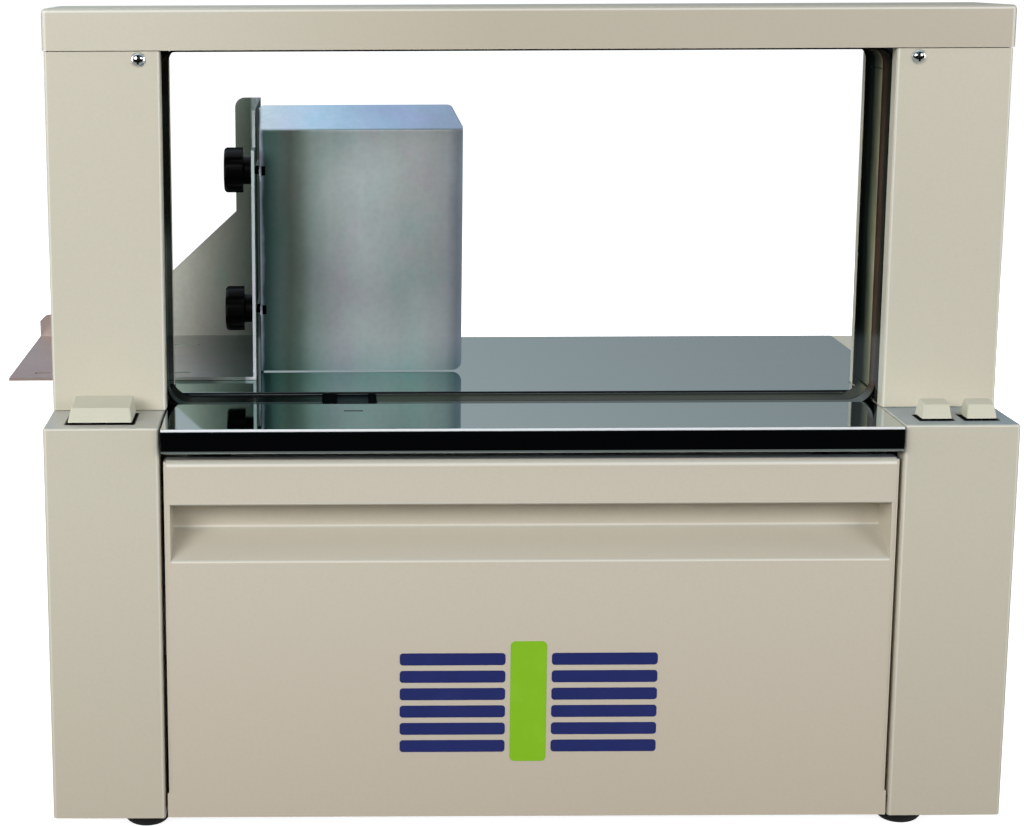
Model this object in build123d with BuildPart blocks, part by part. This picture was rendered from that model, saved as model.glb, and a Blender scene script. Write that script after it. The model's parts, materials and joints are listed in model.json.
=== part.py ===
"""Tabletop banding machine: an arch over a steel work table puts a paper band round a stack.

The frame: +X to the operator's right, +Y away from the operator, +Z up, millimetres.
The origin is the centre of the base's underside, and the rubber feet reach below it.
"""

from build123d import *
from math import cos, pi, radians, sin
import os

os.makedirs("parts", exist_ok=True)

# ---------------------------------------------------------------- driving dimensions
body_width = 580.0
body_depth = 330.0
table_height = 244.0        # base underside to the top of the work table
sheet = 1.5                 # thickness of the painted and stainless covers
frame_sheet = 2.0           # thickness of the hidden frame plates

column_width = 68.8         # each side column of the base
post_width = 69.6           # each leg of the arch
arch_setback = 55.5         # front of the base to the front of the arch
arch_depth = 87.5
opening_height = 219.0      # table top to the underside of the beam
beam_height = 25.0
beam_overhang = 1.0         # the beam cover is wider than the legs on each side

door_gap = 2.4              # door edge to column
door_height = 224.0
door_recess_depth = 30.0
door_bar_bottom = 196.5     # underside of the bar above the hand recess
recess_floor_back = 176.0
recess_floor_front = 162.6

slot_start = 75.0           # front of the base to the front edge of the tape slot
slot_end = 113.0
table_overhang = 5.0        # the front table plate stands proud of the base
table_flange = 15.0
rear_table_half = 249.2     # the rear table plate reaches past the arch legs

tape_width = 30.0
tape_middle = 93.0          # front of the base to the middle of the tape path

foot_height = 12.0
foot_radius = 14.4
foot_sole = 7.2
foot_x = 234.5
foot_setback = 27.0

# ---------------------------------------------------------------- derived places
half_width = body_width / 2
front = -body_depth / 2
back = body_depth / 2
column_inner = half_width - column_width
opening_half = half_width - post_width
arch_front = front + arch_setback
arch_back = arch_front + arch_depth
opening_top = table_height + opening_height
beam_top = opening_top + beam_height
beam_half = half_width + beam_overhang
door_half = column_inner - door_gap
table_under = table_height - sheet
tape_front = front + tape_middle - tape_width / 2
tape_back = front + tape_middle + tape_width / 2
both_sides = (-1, 1)
pan_front = front + 16.0
inside_back = back - sheet


def block(x_range, y_range, z_range, mode=Mode.ADD):
    """Add, or with another mode cut, a box that spans the three ranges."""
    spans = (x_range, y_range, z_range)
    centre = [(low + high) / 2 for low, high in spans]
    with Locations(tuple(centre)):
        Box(*[high - low for low, high in spans], mode=mode)


def plane_facing_front(y):
    """A sketch plane across the machine: local x is +X, local y is +Z, extrudes towards the front."""
    return Plane(origin=(0, y, 0), x_dir=(1, 0, 0), z_dir=(0, -1, 0))


def plane_facing_right(x):
    """A sketch plane along the machine: local x is +Y, local y is +Z, extrudes towards +X."""
    return Plane(origin=(x, 0, 0), x_dir=(0, 1, 0), z_dir=(1, 0, 0))


def rod(start, direction, radius, length, mode=Mode.ADD):
    """Add or cut a round rod from start, along direction."""
    with Locations(Plane(origin=start, z_dir=direction)):
        Cylinder(radius, length, align=(Align.CENTER, Align.CENTER, Align.MIN), mode=mode)


# ================================================================ base and covers
# ---------------------------------------------------------------- base pan
pan_sheet = 2.0
pan_half = half_width - sheet - 0.2
hinge_y = front + 6.0
hinge_z = 6.0
hinge_pin_radius = 2.0
hinge_ear_x = 214.0
vent_spacing = 12.0

with BuildPart() as base_pan:
    block((-pan_half, pan_half), (front + 2.0, inside_back - 0.2), (0, pan_sheet))
    notch_half = column_inner + sheet + 0.2
    block((-notch_half, notch_half), (front, pan_front), (-1, pan_sheet + 1), Mode.SUBTRACT)
    block((-door_half, door_half), (pan_front, pan_front + sheet), (0, 14.0))
    for side in both_sides:
        with BuildSketch(plane_facing_right(side * hinge_ear_x - 1.0)):
            with Locations((hinge_y, hinge_z)):
                Circle(3.6)
            with Locations((hinge_y + 5.5, hinge_z)):
                Rectangle(11.0, 7.2)
        extrude(amount=2.0)
        ear_bore = hinge_pin_radius + 0.05
        rod((side * hinge_ear_x - 2.0, hinge_y, hinge_z), (1, 0, 0), ear_bore, 4.0, Mode.SUBTRACT)
    with BuildSketch(Plane.XY):
        with Locations((-90.0, 60.0), (90.0, 60.0)):
            with GridLocations(vent_spacing, 1, 9, 1):
                SlotOverall(40.0, 4.0, rotation=90)
        for side in both_sides:
            with Locations((side * foot_x, front + foot_setback), (side * foot_x, back - foot_setback)):
                Circle(2.2)
    extrude(amount=pan_sheet, mode=Mode.SUBTRACT)
base_pan.part.label = "base_pan"
export_step(base_pan.part, "parts/base_pan.step")

# ---------------------------------------------------------------- rubber feet
with BuildPart() as one_foot:
    with BuildSketch(Plane.XZ):
        with BuildLine():
            Polyline((2.6, -5.0), (2.6, 0), (foot_radius, 0), (foot_radius, -6.4))
            ThreePointArc((foot_radius, -6.4), (foot_radius - 2.0, -9.9), (foot_sole, -foot_height))
            Polyline((foot_sole, -foot_height), (4.5, -foot_height), (4.5, -5.0), (2.6, -5.0))
        make_face()
    revolve(axis=Axis.Z)

with BuildPart() as rubber_feet:
    with GridLocations(2 * foot_x, body_depth - 2 * foot_setback, 2, 2):
        add(one_foot.part)
rubber_feet.part.label = "rubber_feet"
export_step(rubber_feet.part, "parts/rubber_feet.step")

# ---------------------------------------------------------------- side covers
start_key_size = (38.4, 34.0)
small_key_size = (18.0, 18.0)
key_gap = 2.1
start_key_place = (-257.3, front + 29.8)
feed_key_place = (243.7, front + 23.3)
mode_key_place = (270.6, front + 23.3)
key_places = {
    "start_key": (start_key_place, start_key_size),
    "feed_key": (feed_key_place, small_key_size),
    "mode_key": (mode_key_place, small_key_size),
}
leg_window_x = (226.0, 287.0)


def side_cover(side):
    """One column of the base: an open-bottomed box with its ledge, for the right (1) or left (-1)."""
    with BuildPart() as cover:
        block((column_inner, half_width), (front, back), (0, table_height))
        fillet(cover.edges().filter_by(Axis.Z), radius=2.2)
        fillet(cover.faces().sort_by(Axis.Z)[-1].edges(), radius=1.2)
        hollow_start = column_inner + sheet
        hollow_x = (hollow_start, half_width - sheet)
        block(hollow_x, (front + sheet, inside_back), (-1, table_under), Mode.SUBTRACT)
        opening_x = (column_inner - 1, hollow_start + 1)
        block(opening_x, (pan_front - 0.2, inside_back), (-1, table_under), Mode.SUBTRACT)
        top = (table_under - 0.1, table_height + 1)
        block(leg_window_x, (arch_front + 8.0, arch_back - 8.0), top, Mode.SUBTRACT)
        block((column_inner - 1, rear_table_half + 0.4), (arch_back + 0.3, back + 1), top, Mode.SUBTRACT)
        for place, size in key_places.values():
            if place[0] * side > 0:
                with BuildSketch(Plane.XY.offset(table_height + 1)):
                    with Locations((abs(place[0]), place[1])):
                        RectangleRounded(size[0] + 2 * key_gap, size[1] + 2 * key_gap, 1.0)
                extrude(amount=-sheet - 2, mode=Mode.SUBTRACT)
        with BuildSketch(plane_facing_right(half_width - sheet - 1)):
            with Locations((back - 70.0, 60.0)):
                with GridLocations(10.0, 1, 8, 1):
                    SlotOverall(34.0, 4.0, rotation=90)
        extrude(amount=sheet + 2, mode=Mode.SUBTRACT)
    return cover


right_cover_build = side_cover(1)
with BuildPart() as right_side_cover:
    add(right_cover_build.part)
right_side_cover.part.label = "right_side_cover"
export_step(right_side_cover.part, "parts/right_side_cover.step")

left_cover_build = side_cover(-1)
with BuildPart() as left_side_cover:
    mirror(left_cover_build.part, about=Plane.YZ)
left_side_cover.part.label = "left_side_cover"
export_step(left_side_cover.part, "parts/left_side_cover.step")

# ---------------------------------------------------------------- frame plates and rails
plate_inner = 217.2
rail_y = front + 34.4

with BuildPart() as frame_plates:
    for side in both_sides:
        inner, outer = sorted((side * plate_inner, side * (plate_inner + frame_sheet)))
        block((inner, outer), (front + 34.0, inside_back - 0.2), (pan_sheet + 0.1, table_under - 0.1))
        flange = sorted((side * (plate_inner - 14.0), side * plate_inner))
        block(flange, (front + 50.0, inside_back - 0.2), (pan_sheet + 0.1, pan_sheet + 0.1 + frame_sheet))
    lip_notch = (front + slot_start - 3, front + slot_end + 3)
    block((-half_width, half_width), lip_notch, (table_height - 7.0, table_height), Mode.SUBTRACT)
    with BuildSketch(plane_facing_right(-plate_inner - 5)):
        with Locations((0, 120.0)):
            with GridLocations(120.0, 110.0, 2, 2):
                Circle(22.0)
    extrude(amount=2 * plate_inner + 10, mode=Mode.SUBTRACT)
frame_plates.part.label = "frame_plates"
export_step(frame_plates.part, "parts/frame_plates.step")

rail_half = plate_inner - 0.1
with BuildPart() as cross_rails:
    for rail_front in (rail_y, back - 28.0):
        block((-rail_half, rail_half), (rail_front, rail_front + frame_sheet), (210.0, table_under - 0.1))
        rail_z = (table_under - 2.1, table_under - 0.1)
        block((-rail_half, rail_half), (rail_front, rail_front + 14.0), rail_z)
cross_rails.part.label = "cross_rails"
export_step(cross_rails.part, "parts/cross_rails.step")

# ---------------------------------------------------------------- rear cover
rear_half = column_inner - 0.4
inlet_x = -175.0
inlet_z = 52.0
inlet_size = (47.0, 27.0)

with BuildPart() as rear_cover:
    block((-rear_half, rear_half), (inside_back, back), (0.2, table_under - 0.2))
    with BuildSketch(plane_facing_front(back + 1)):
        with Locations((-110.0, 160.0), (110.0, 160.0)):
            with GridLocations(11.0, 1, 10, 1):
                SlotOverall(56.0, 4.5, rotation=90)
        with Locations((inlet_x, inlet_z)):
            Rectangle(inlet_size[0] + 0.4, inlet_size[1] + 0.4)
    extrude(amount=sheet + 2, mode=Mode.SUBTRACT)
rear_cover.part.label = "rear_cover"
export_step(rear_cover.part, "parts/rear_cover.step")

# ---------------------------------------------------------------- front door
cheek_depth = 14.0
door_top_bend = 4.0
recess_end = 3.4            # flat strip between the recess and the edge of the door
door_back = front + door_recess_depth + sheet

with BuildPart() as front_door:
    with BuildSketch(plane_facing_right(0)):
        with BuildLine():
            FilletPolyline(
                (front + cheek_depth, door_height - 10.0),
                (front + cheek_depth, door_height),
                (front, door_height),
                (front, door_bar_bottom),
                (front + door_recess_depth, door_bar_bottom),
                (front + door_recess_depth, recess_floor_back),
                (front, recess_floor_front),
                (front, 0.5),
                radius=(2.2, door_top_bend, 1.8, 2.2, 3.0, 2.2),
            )
            offset(amount=sheet, side=Side.LEFT)
        make_face()
    extrude(amount=door_half - sheet, both=True)
    for side in both_sides:
        cheek_start = side * (door_half - sheet) if side > 0 else -door_half
        with BuildSketch(plane_facing_right(cheek_start)):
            with BuildLine():
                Polyline(
                    (front + 0.8, 0.5),
                    (front + cheek_depth, 0.5),
                    (front + cheek_depth, 150.0),
                    (door_back - 0.4, 168.0),
                    (door_back - 0.4, door_bar_bottom + 0.4),
                    (front + cheek_depth, door_bar_bottom + 8.0),
                    (front + cheek_depth, door_height - 0.6),
                    (front + 0.8, door_height - 0.6),
                    close=True,
                )
            make_face()
            with Locations((hinge_y, hinge_z)):
                Circle(hinge_pin_radius + 0.05, mode=Mode.SUBTRACT)
        extrude(amount=sheet)
        strip_start = side * (door_half - sheet) if side < 0 else door_half - recess_end
        with BuildSketch(plane_facing_right(strip_start)):
            with BuildLine():
                Polyline(
                    (front, 155.0),
                    (front, 200.0),
                    (door_back - 0.4, 200.0),
                    (door_back - 0.4, 168.0),
                    close=True,
                )
            make_face()
        extrude(amount=recess_end - sheet)
        wide_foot = sorted((side * (door_half - sheet), side * (door_half + 0.9)))
        block(wide_foot, (front, front + sheet), (0.5, 16.0))
front_door.part.label = "front_door"
export_step(front_door.part, "parts/front_door.step")

with BuildPart() as door_hinge_pins:
    for side in both_sides:
        pin_start = min(side * (hinge_ear_x - 2.5), side * (door_half + 0.4))
        rod((pin_start, hinge_y, hinge_z), (1, 0, 0), hinge_pin_radius, door_half - hinge_ear_x + 2.9)
door_hinge_pins.part.label = "door_hinge_pins"
export_step(door_hinge_pins.part, "parts/door_hinge_pins.step")

with BuildPart() as door_catches:
    for side in both_sides:
        catch_x = sorted((side * 180.0, side * 206.0))
        block(catch_x, (front + cheek_depth + 0.4, rail_y - 0.1), (212.0, 223.0))
    fillet(door_catches.edges().filter_by(Axis.Y), radius=1.0)
door_catches.part.label = "door_catches"
export_step(door_catches.part, "parts/door_catches.step")

# ================================================================ work table
head_left = -124.0
head_right = -90.0
anvil_left = -115.0
anvil_right = -94.6
clamp_screw_x = -241.0
clamp_screw_y = (front + 175.0, front + 288.0)
clamp_shank = 2.4
front_table_half = opening_half - 0.6

with BuildPart() as front_table_plate:
    with BuildSketch(plane_facing_right(0)):
        with BuildLine():
            FilletPolyline(
                (front + 4.0, table_height - table_flange),
                (front - table_overhang, table_height - table_flange),
                (front - table_overhang, table_height),
                (front + slot_start, table_height),
                (front + slot_start, table_height - 6.0),
                radius=1.8,
            )
            offset(amount=sheet, side=Side.RIGHT)
        make_face()
    extrude(amount=front_table_half, both=True)
    block((-110.8, -99.2), (front + 50.3, front + 51.9), (table_under - 1, table_height + 1), Mode.SUBTRACT)
front_table_plate.part.label = "front_table_plate"
export_step(front_table_plate.part, "parts/front_table_plate.step")

with BuildPart() as rear_table_plate:
    with BuildSketch(plane_facing_right(0)):
        with BuildLine():
            FilletPolyline(
                (front + slot_end, table_height - 6.0),
                (front + slot_end, table_height),
                (back, table_height),
                radius=1.8,
            )
            offset(amount=sheet, side=Side.RIGHT)
        make_face()
    extrude(amount=front_table_half, both=True)
    wing = (arch_back + 0.6, back)
    block((-rear_table_half, rear_table_half), wing, (table_under, table_height))
    block((anvil_left - 0.5, anvil_right + 0.5), (front + slot_end - 1, front + slot_end + 3),
          (table_height - 7.0, table_under), Mode.SUBTRACT)
    with BuildSketch(Plane.XY.offset(table_height + 1)):
        for screw_y in clamp_screw_y:
            with Locations((clamp_screw_x, screw_y)):
                Circle(clamp_shank + 0.05)
    extrude(amount=-sheet - 2, mode=Mode.SUBTRACT)
rear_table_plate.part.label = "rear_table_plate"
export_step(rear_table_plate.part, "parts/rear_table_plate.step")

# ================================================================ arch
post_bottom = table_height + 0.3
post_top = opening_top - 0.5
cover_split = arch_front + arch_depth / 2
front_return = arch_front + 11.0
rear_return = arch_back - 8.0
post_screw_x = 233.4
post_screw_z = 457.6
screw_shank = 2.0
screw_head = 4.25


def post_cover(face_y, return_y, split_y, side):
    """A leg's channel-shaped cover, with its face at face_y and its edges at return_y and split_y."""
    inward = 1 if split_y > face_y else -1
    with BuildPart() as cover:
        with BuildSketch(Plane.XY.offset(post_bottom)):
            with BuildLine():
                FilletPolyline(
                    (side * opening_half, return_y),
                    (side * opening_half, face_y),
                    (side * half_width, face_y),
                    (side * half_width, split_y),
                    radius=1.8,
                )
                offset(amount=sheet, side=Side.LEFT if side * inward > 0 else Side.RIGHT)
            make_face()
        extrude(amount=post_top - post_bottom)
        rod((side * post_screw_x, face_y - 3 * inward, post_screw_z), (0, inward, 0), screw_shank + 0.1, 6.0,
            Mode.SUBTRACT)
    return cover


for cover_name, cover_side in (("left", -1), ("right", 1)):
    front_build = post_cover(arch_front, front_return, cover_split - 0.2, cover_side)
    front_build.part.label = cover_name + "_post_front_cover"
    export_step(front_build.part, "parts/" + front_build.part.label + ".step")
    rear_build = post_cover(arch_back, rear_return, cover_split + 0.2, cover_side)
    rear_build.part.label = cover_name + "_post_rear_cover"
    export_step(rear_build.part, "parts/" + rear_build.part.label + ".step")

with BuildPart() as one_screw:
    with BuildSketch(Plane.XZ):
        with BuildLine():
            Polyline((0, 2.6), (0, -12.0), (screw_shank, -12.0), (screw_shank, 0))
            Polyline((screw_shank, 0), (screw_head, 0), (screw_head, 0.7))
            ThreePointArc((screw_head, 0.7), (2.6, 2.15), (0, 2.6))
        make_face()
    revolve(axis=Axis.Z)
    with BuildSketch(Plane.XY.offset(0.8)):
        Rectangle(5.6, 1.2)
        Rectangle(1.2, 5.6)
    extrude(amount=3.0, mode=Mode.SUBTRACT)

with BuildPart() as post_cover_screws:
    for side in both_sides:
        for face_y, outward in ((arch_front, -1), (arch_back, 1)):
            with Locations(Plane(origin=(side * post_screw_x, face_y, post_screw_z), z_dir=(0, outward, 0))):
                add(one_screw.part)
post_cover_screws.part.label = "post_cover_screws"
export_step(post_cover_screws.part, "parts/post_cover_screws.step")

# ---------------------------------------------------------------- beam cover
beam_front = arch_front - beam_overhang
beam_back = arch_back + beam_overhang
lip_depth = 11.0

with BuildPart() as beam_cover:
    block((-beam_half, beam_half), (beam_front, beam_back), (opening_top, beam_top))
    fillet(beam_cover.edges().filter_by(Axis.Z), radius=3.0)
    fillet(beam_cover.faces().sort_by(Axis.Z)[-1].edges(), radius=2.6)
    block((-beam_half + sheet, beam_half - sheet), (beam_front + sheet, beam_back - sheet),
          (opening_top + sheet, beam_top - sheet), Mode.SUBTRACT)
    block((-beam_half + sheet, beam_half - sheet), (beam_front + lip_depth, beam_back - lip_depth),
          (opening_top - 1, opening_top + sheet + 1), Mode.SUBTRACT)
beam_cover.part.label = "beam_cover"
export_step(beam_cover.part, "parts/beam_cover.step")

# ---------------------------------------------------------------- black liners of the tape track
liner_sheet = 1.2
liner_half = opening_half + 0.2
liner_top = opening_top - 1.4
liner_bottom = table_height - 1.7
lower_corner = 14.0
upper_corner = 9.0
split_y = front + 90.0      # the slit through which the band leaves the track
front_liner_start = front_return + 0.3
rear_liner_end = rear_return - 0.3
flap_end = split_y + 37.6
flap_bottom = 250.0
flap_top = 449.0
top_flap_half = 205.0


def liner_ring(y_start, y_end):
    """Add a rounded rectangular ring round the arch opening, from y_start to y_end."""
    with BuildSketch(plane_facing_front(y_end)) as ring:
        for grow, mode in ((liner_sheet, Mode.ADD), (0, Mode.SUBTRACT)):
            low_radius = lower_corner + grow
            high_radius = upper_corner + grow
            with BuildLine():
                FilletPolyline(
                    (-liner_half - grow, liner_bottom - grow),
                    (liner_half + grow, liner_bottom - grow),
                    (liner_half + grow, liner_top + grow),
                    (-liner_half - grow, liner_top + grow),
                    radius=(low_radius, low_radius, high_radius, high_radius),
                    close=True,
                )
            make_face(mode=mode)
    extrude(ring.sketch, amount=y_end - y_start)


def square_off(y_range):
    """Run the ring straight down to the table over y_range, beside the tape slot."""
    corner_top = liner_bottom + lower_corner + 1.0
    block((-liner_half, liner_half), y_range, (liner_bottom - 5.0, corner_top), Mode.SUBTRACT)
    for side in both_sides:
        wall = sorted((side * liner_half, side * (liner_half + liner_sheet)))
        block(wall, y_range, (table_height + 0.3, corner_top))


head_window = (head_left - 0.3, head_right + 0.3)
below_table = (liner_bottom - 5.0, table_height + 0.3)

with BuildPart() as arch_front_liner:
    liner_ring(front_liner_start, split_y - 0.4)
    square_off((front_liner_start, front + slot_start + 0.3))
    block(head_window, (front_liner_start, split_y), below_table, Mode.SUBTRACT)
arch_front_liner.part.label = "arch_front_liner"
export_step(arch_front_liner.part, "parts/arch_front_liner.step")

pin_radius = 0.8
knuckle_radius = 1.7
knuckle_x = liner_half + liner_sheet + 1.0
knuckle_z = liner_top + liner_sheet + 1.0
knuckle_y = flap_end - 1.9
lug_length = 5.0

with BuildPart() as arch_rear_liner:
    liner_ring(split_y + 0.4, rear_liner_end)
    square_off((front + slot_end - 0.3, rear_liner_end))
    block(head_window, (split_y, front + slot_end + 1), below_table, Mode.SUBTRACT)
    for side in both_sides:
        flap_x = sorted((side * (liner_half - 2), side * (liner_half + 5)))
        block(flap_x, (split_y - 1, flap_end), (flap_bottom, flap_top), Mode.SUBTRACT)
        for lug_z in (flap_bottom - lug_length, flap_top):
            lug_x = sorted((side * (liner_half + 0.2), side * (knuckle_x + 1.6)))
            block(lug_x, (knuckle_y - 1.7, flap_end + 2), (lug_z, lug_z + lug_length))
        pin_start = (side * knuckle_x, knuckle_y, flap_bottom - 8)
        rod(pin_start, (0, 0, 1), pin_radius, flap_top - flap_bottom + 16, Mode.SUBTRACT)
        lug_x = sorted((side * top_flap_half, side * (top_flap_half + lug_length)))
        block(lug_x, (knuckle_y - 1.7, flap_end + 2), (liner_top + 0.2, knuckle_z + 1.6))
    top_slot_z = (liner_top - 2, liner_top + 5)
    block((-top_flap_half, top_flap_half), (split_y - 1, flap_end), top_slot_z, Mode.SUBTRACT)
    pin_start = (-top_flap_half - 8, knuckle_y, knuckle_z)
    rod(pin_start, (1, 0, 0), pin_radius, 2 * top_flap_half + 16, Mode.SUBTRACT)
arch_rear_liner.part.label = "arch_rear_liner"
export_step(arch_rear_liner.part, "parts/arch_rear_liner.step")

flap_gap = 0.4


def side_flap(side):
    """A sprung leaf that closes the tape track along one leg, with its rolled knuckle and its bore."""
    with BuildPart() as flap:
        leaf = sorted((side * liner_half, side * (liner_half + liner_sheet)))
        span = (flap_bottom + flap_gap, flap_top - flap_gap)
        block(leaf, (split_y + flap_gap, flap_end - flap_gap), span)
        rod((side * knuckle_x, knuckle_y, span[0]), (0, 0, 1), knuckle_radius, span[1] - span[0])
        rod((side * knuckle_x, knuckle_y, span[0] - 1), (0, 0, 1), pin_radius + 0.05, span[1] - span[0] + 2,
            Mode.SUBTRACT)
    return flap


left_flap_build = side_flap(-1)
left_flap_build.part.label = "left_track_flap"
export_step(left_flap_build.part, "parts/left_track_flap.step")
right_flap_build = side_flap(1)
right_flap_build.part.label = "right_track_flap"
export_step(right_flap_build.part, "parts/right_track_flap.step")

with BuildPart() as top_track_flap:
    flap_half = top_flap_half - flap_gap
    flap_z = (liner_top, liner_top + liner_sheet)
    block((-flap_half, flap_half), (split_y + flap_gap, flap_end - flap_gap), flap_z)
    rod((-flap_half, knuckle_y, knuckle_z), (1, 0, 0), knuckle_radius, 2 * flap_half)
    bore_start = (-flap_half - 1, knuckle_y, knuckle_z)
    rod(bore_start, (1, 0, 0), pin_radius + 0.05, 2 * flap_half + 2, Mode.SUBTRACT)
top_track_flap.part.label = "top_track_flap"
export_step(top_track_flap.part, "parts/top_track_flap.step")

pin_end = 4.0
with BuildPart() as flap_hinge_pins:
    for side in both_sides:
        rod((side * knuckle_x, knuckle_y, flap_bottom - pin_end), (0, 0, 1), pin_radius,
            flap_top - flap_bottom + 2 * pin_end)
    pin_reach = top_flap_half + pin_end
    rod((-pin_reach, knuckle_y, knuckle_z), (1, 0, 0), pin_radius, 2 * pin_reach)
flap_hinge_pins.part.label = "flap_hinge_pins"
export_step(flap_hinge_pins.part, "parts/flap_hinge_pins.step")

# ---------------------------------------------------------------- arch frame
frame_inner = 229.0
frame_outer = 285.0
frame_lintel = 470.0
frame_crown = 484.0
leg_foot = 190.0

with BuildPart() as arch_frame:
    with BuildSketch(plane_facing_front(arch_back - 38.0)):
        with Locations((0, (leg_foot + frame_crown) / 2)):
            Rectangle(2 * frame_outer, frame_crown - leg_foot)
        with Locations((0, (leg_foot - 10 + frame_lintel) / 2)):
            Rectangle(2 * frame_inner, frame_lintel - leg_foot + 10, mode=Mode.SUBTRACT)
    extrude(amount=2.5)
    flange_y = (arch_front + 14.0, arch_back - 14.0)
    for side in both_sides:
        inner_flange = sorted((side * frame_inner, side * (frame_inner + 2)))
        block(inner_flange, flange_y, (leg_foot, frame_lintel + 2))
        foot_pad = sorted((side * (plate_inner + frame_sheet + 0.1), side * frame_inner))
        block(foot_pad, flange_y, (leg_foot, leg_foot + 3))
    block((-frame_inner, frame_inner), flange_y, (frame_lintel, frame_lintel + 2))
arch_frame.part.label = "arch_frame"
export_step(arch_frame.part, "parts/arch_frame.step")

# ================================================================ keys
cap_lift = 1.0              # cap skirt above the ledge when the key is up
tray_wall = 0.8
tray_floor = table_height - 10.0
switch_height = 11.0
stem_radius = 2.4
cap_wall = 1.2


def key_cap(place, size, top_size, top_shift, heights, name):
    """A hollow cap with a front that leans back and a tilted top, on a round stem."""
    skirt_z = table_height + cap_lift
    front_height, rear_height = heights
    tilt = (rear_height - front_height) / top_size[1]
    middle_height = (front_height + rear_height) / 2 - cap_lift
    with BuildPart() as key:
        for wall, mode in ((0, Mode.ADD), (cap_wall, Mode.SUBTRACT)):
            top_plane = Plane(
                origin=(place[0] + top_shift[0], place[1] + top_shift[1], skirt_z + middle_height - wall),
                x_dir=(1, 0, 0),
                z_dir=(0, -tilt, 1),
            )
            with BuildSketch(Plane(origin=(place[0], place[1], skirt_z))):
                RectangleRounded(size[0] - 2 * wall, size[1] - 2 * wall, 1.2)
            with BuildSketch(top_plane):
                RectangleRounded(top_size[0] - 2 * wall, top_size[1] - 2 * wall, 1.2)
            loft(mode=mode)
            if mode == Mode.ADD:
                fillet(key.faces().sort_by(Axis.Z)[-1].edges(), radius=0.6)
        stem_top = skirt_z + middle_height - cap_wall + 0.2
        rod((place[0], place[1], tray_floor - 6.0), (0, 0, 1), stem_radius, stem_top - tray_floor + 6.0)
    key.part.label = name
    export_step(key.part, "parts/" + name + ".step")


key_cap(start_key_place, start_key_size, (35.4, 26.0), (0.3, 1.2), (9.0, 11.6), "start_key")
key_cap(feed_key_place, small_key_size, (15.6, 11.6), (0.2, 0.4), (9.0, 10.6), "feed_key")
key_cap(mode_key_place, small_key_size, (15.6, 11.6), (0.2, 0.4), (9.0, 10.6), "mode_key")

with BuildPart() as key_bezels:
    for place, size in key_places.values():
        outer = (size[0] + 2 * key_gap - 0.2, size[1] + 2 * key_gap - 0.2)
        with BuildSketch(Plane(origin=(place[0], place[1], tray_floor - 1.2))):
            RectangleRounded(outer[0], outer[1], 1.0)
        extrude(amount=table_height - 0.4 - tray_floor + 1.2)
        with BuildSketch(Plane(origin=(place[0], place[1], tray_floor))):
            RectangleRounded(outer[0] - 2 * tray_wall, outer[1] - 2 * tray_wall, 0.6)
        extrude(amount=table_height - tray_floor, mode=Mode.SUBTRACT)
        rod((place[0], place[1], tray_floor - 2), (0, 0, 1), stem_radius + 0.3, 4.0, Mode.SUBTRACT)
key_bezels.part.label = "key_bezels"
export_step(key_bezels.part, "parts/key_bezels.step")

with BuildPart() as key_switches:
    for place, size in key_places.values():
        switch_top = tray_floor - 1.3
        block((place[0] - 7.8, place[0] + 7.8), (place[1] - 7.8, place[1] + 7.8),
              (switch_top - switch_height, switch_top))
        rod((place[0], place[1], switch_top - 9.5), (0, 0, 1), stem_radius + 0.1, 10.0, Mode.SUBTRACT)
key_switches.part.label = "key_switches"
export_step(key_switches.part, "parts/key_switches.step")

# ================================================================ sealing head
cam_z = 138.0
cam_y = front + tape_middle
cam_radius = 14.0
cam_turn = 150.0            # degrees of camshaft turn over which the cams lift
cam_rise = 5.0
follower_gap = 0.3
follower_top = 234.2
blade_height = 1.0
blade_drop = 0.8            # the cutter's slide stops lower, so its blade stays clear of the anvil
follower_x = {"gripper": (-114.7, -108.6), "cutter": (-108.2, -101.6), "press": (-101.2, -94.9)}
shaft_radius = 5.0
follower_foot = cam_z + cam_radius + follower_gap

with BuildPart() as head_frame:
    block((head_left, head_right), (front + 68.0, front + 120.0), (118.0, 237.0))
    block((head_left, head_right), (front + 76.0, front + 112.0), (237.0, table_height - 0.8))
    block((anvil_left, anvil_right), (front + 60.0, front + 130.0), (117.0, 160.0), Mode.SUBTRACT)
    anvil_way = (tape_front - 0.3, tape_back + 0.3)
    block((anvil_left, anvil_right), anvil_way, (150.0, table_height), Mode.SUBTRACT)
    block((anvil_left, anvil_right), (tape_front, front + 121.0), (237.0, table_height), Mode.SUBTRACT)
    shaft_bore = shaft_radius + 0.05
    rod((head_left - 1, cam_y, cam_z), (1, 0, 0), shaft_bore, head_right - head_left + 2, Mode.SUBTRACT)
head_frame.part.label = "head_frame"
export_step(head_frame.part, "parts/head_frame.step")


def add_cam(x_range):
    """Add a cam that lifts steadily over cam_turn, dwells, and falls back to its base circle."""
    dwell = 30.0
    fall = 110.0
    fall_start = cam_turn + dwell
    cam_plane = Plane(origin=(x_range[0] + 0.5, cam_y, cam_z), x_dir=(0, 1, 0), z_dir=(1, 0, 0))
    outline = []
    for step in range(72):
        angle = step * 5.0
        lift = 0.0
        if angle <= cam_turn:
            lift = cam_rise * angle / cam_turn
        elif angle <= fall_start:
            lift = cam_rise
        elif angle < fall_start + fall:
            lift = cam_rise * (1 + cos(pi * (angle - fall_start) / fall)) / 2
        radius = cam_radius + lift
        outline.append((radius * sin(radians(angle)), radius * cos(radians(angle))))
    with BuildSketch(cam_plane) as cam:
        Polygon(*outline, align=None)
    extrude(cam.sketch, amount=x_range[1] - x_range[0] - 1.0)


with BuildPart() as camshaft:
    rod((-160.0, cam_y, cam_z), (1, 0, 0), shaft_radius, 76.0)
    for x_range in follower_x.values():
        add_cam(x_range)
camshaft.part.label = "camshaft"
export_step(camshaft.part, "parts/camshaft.step")


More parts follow.
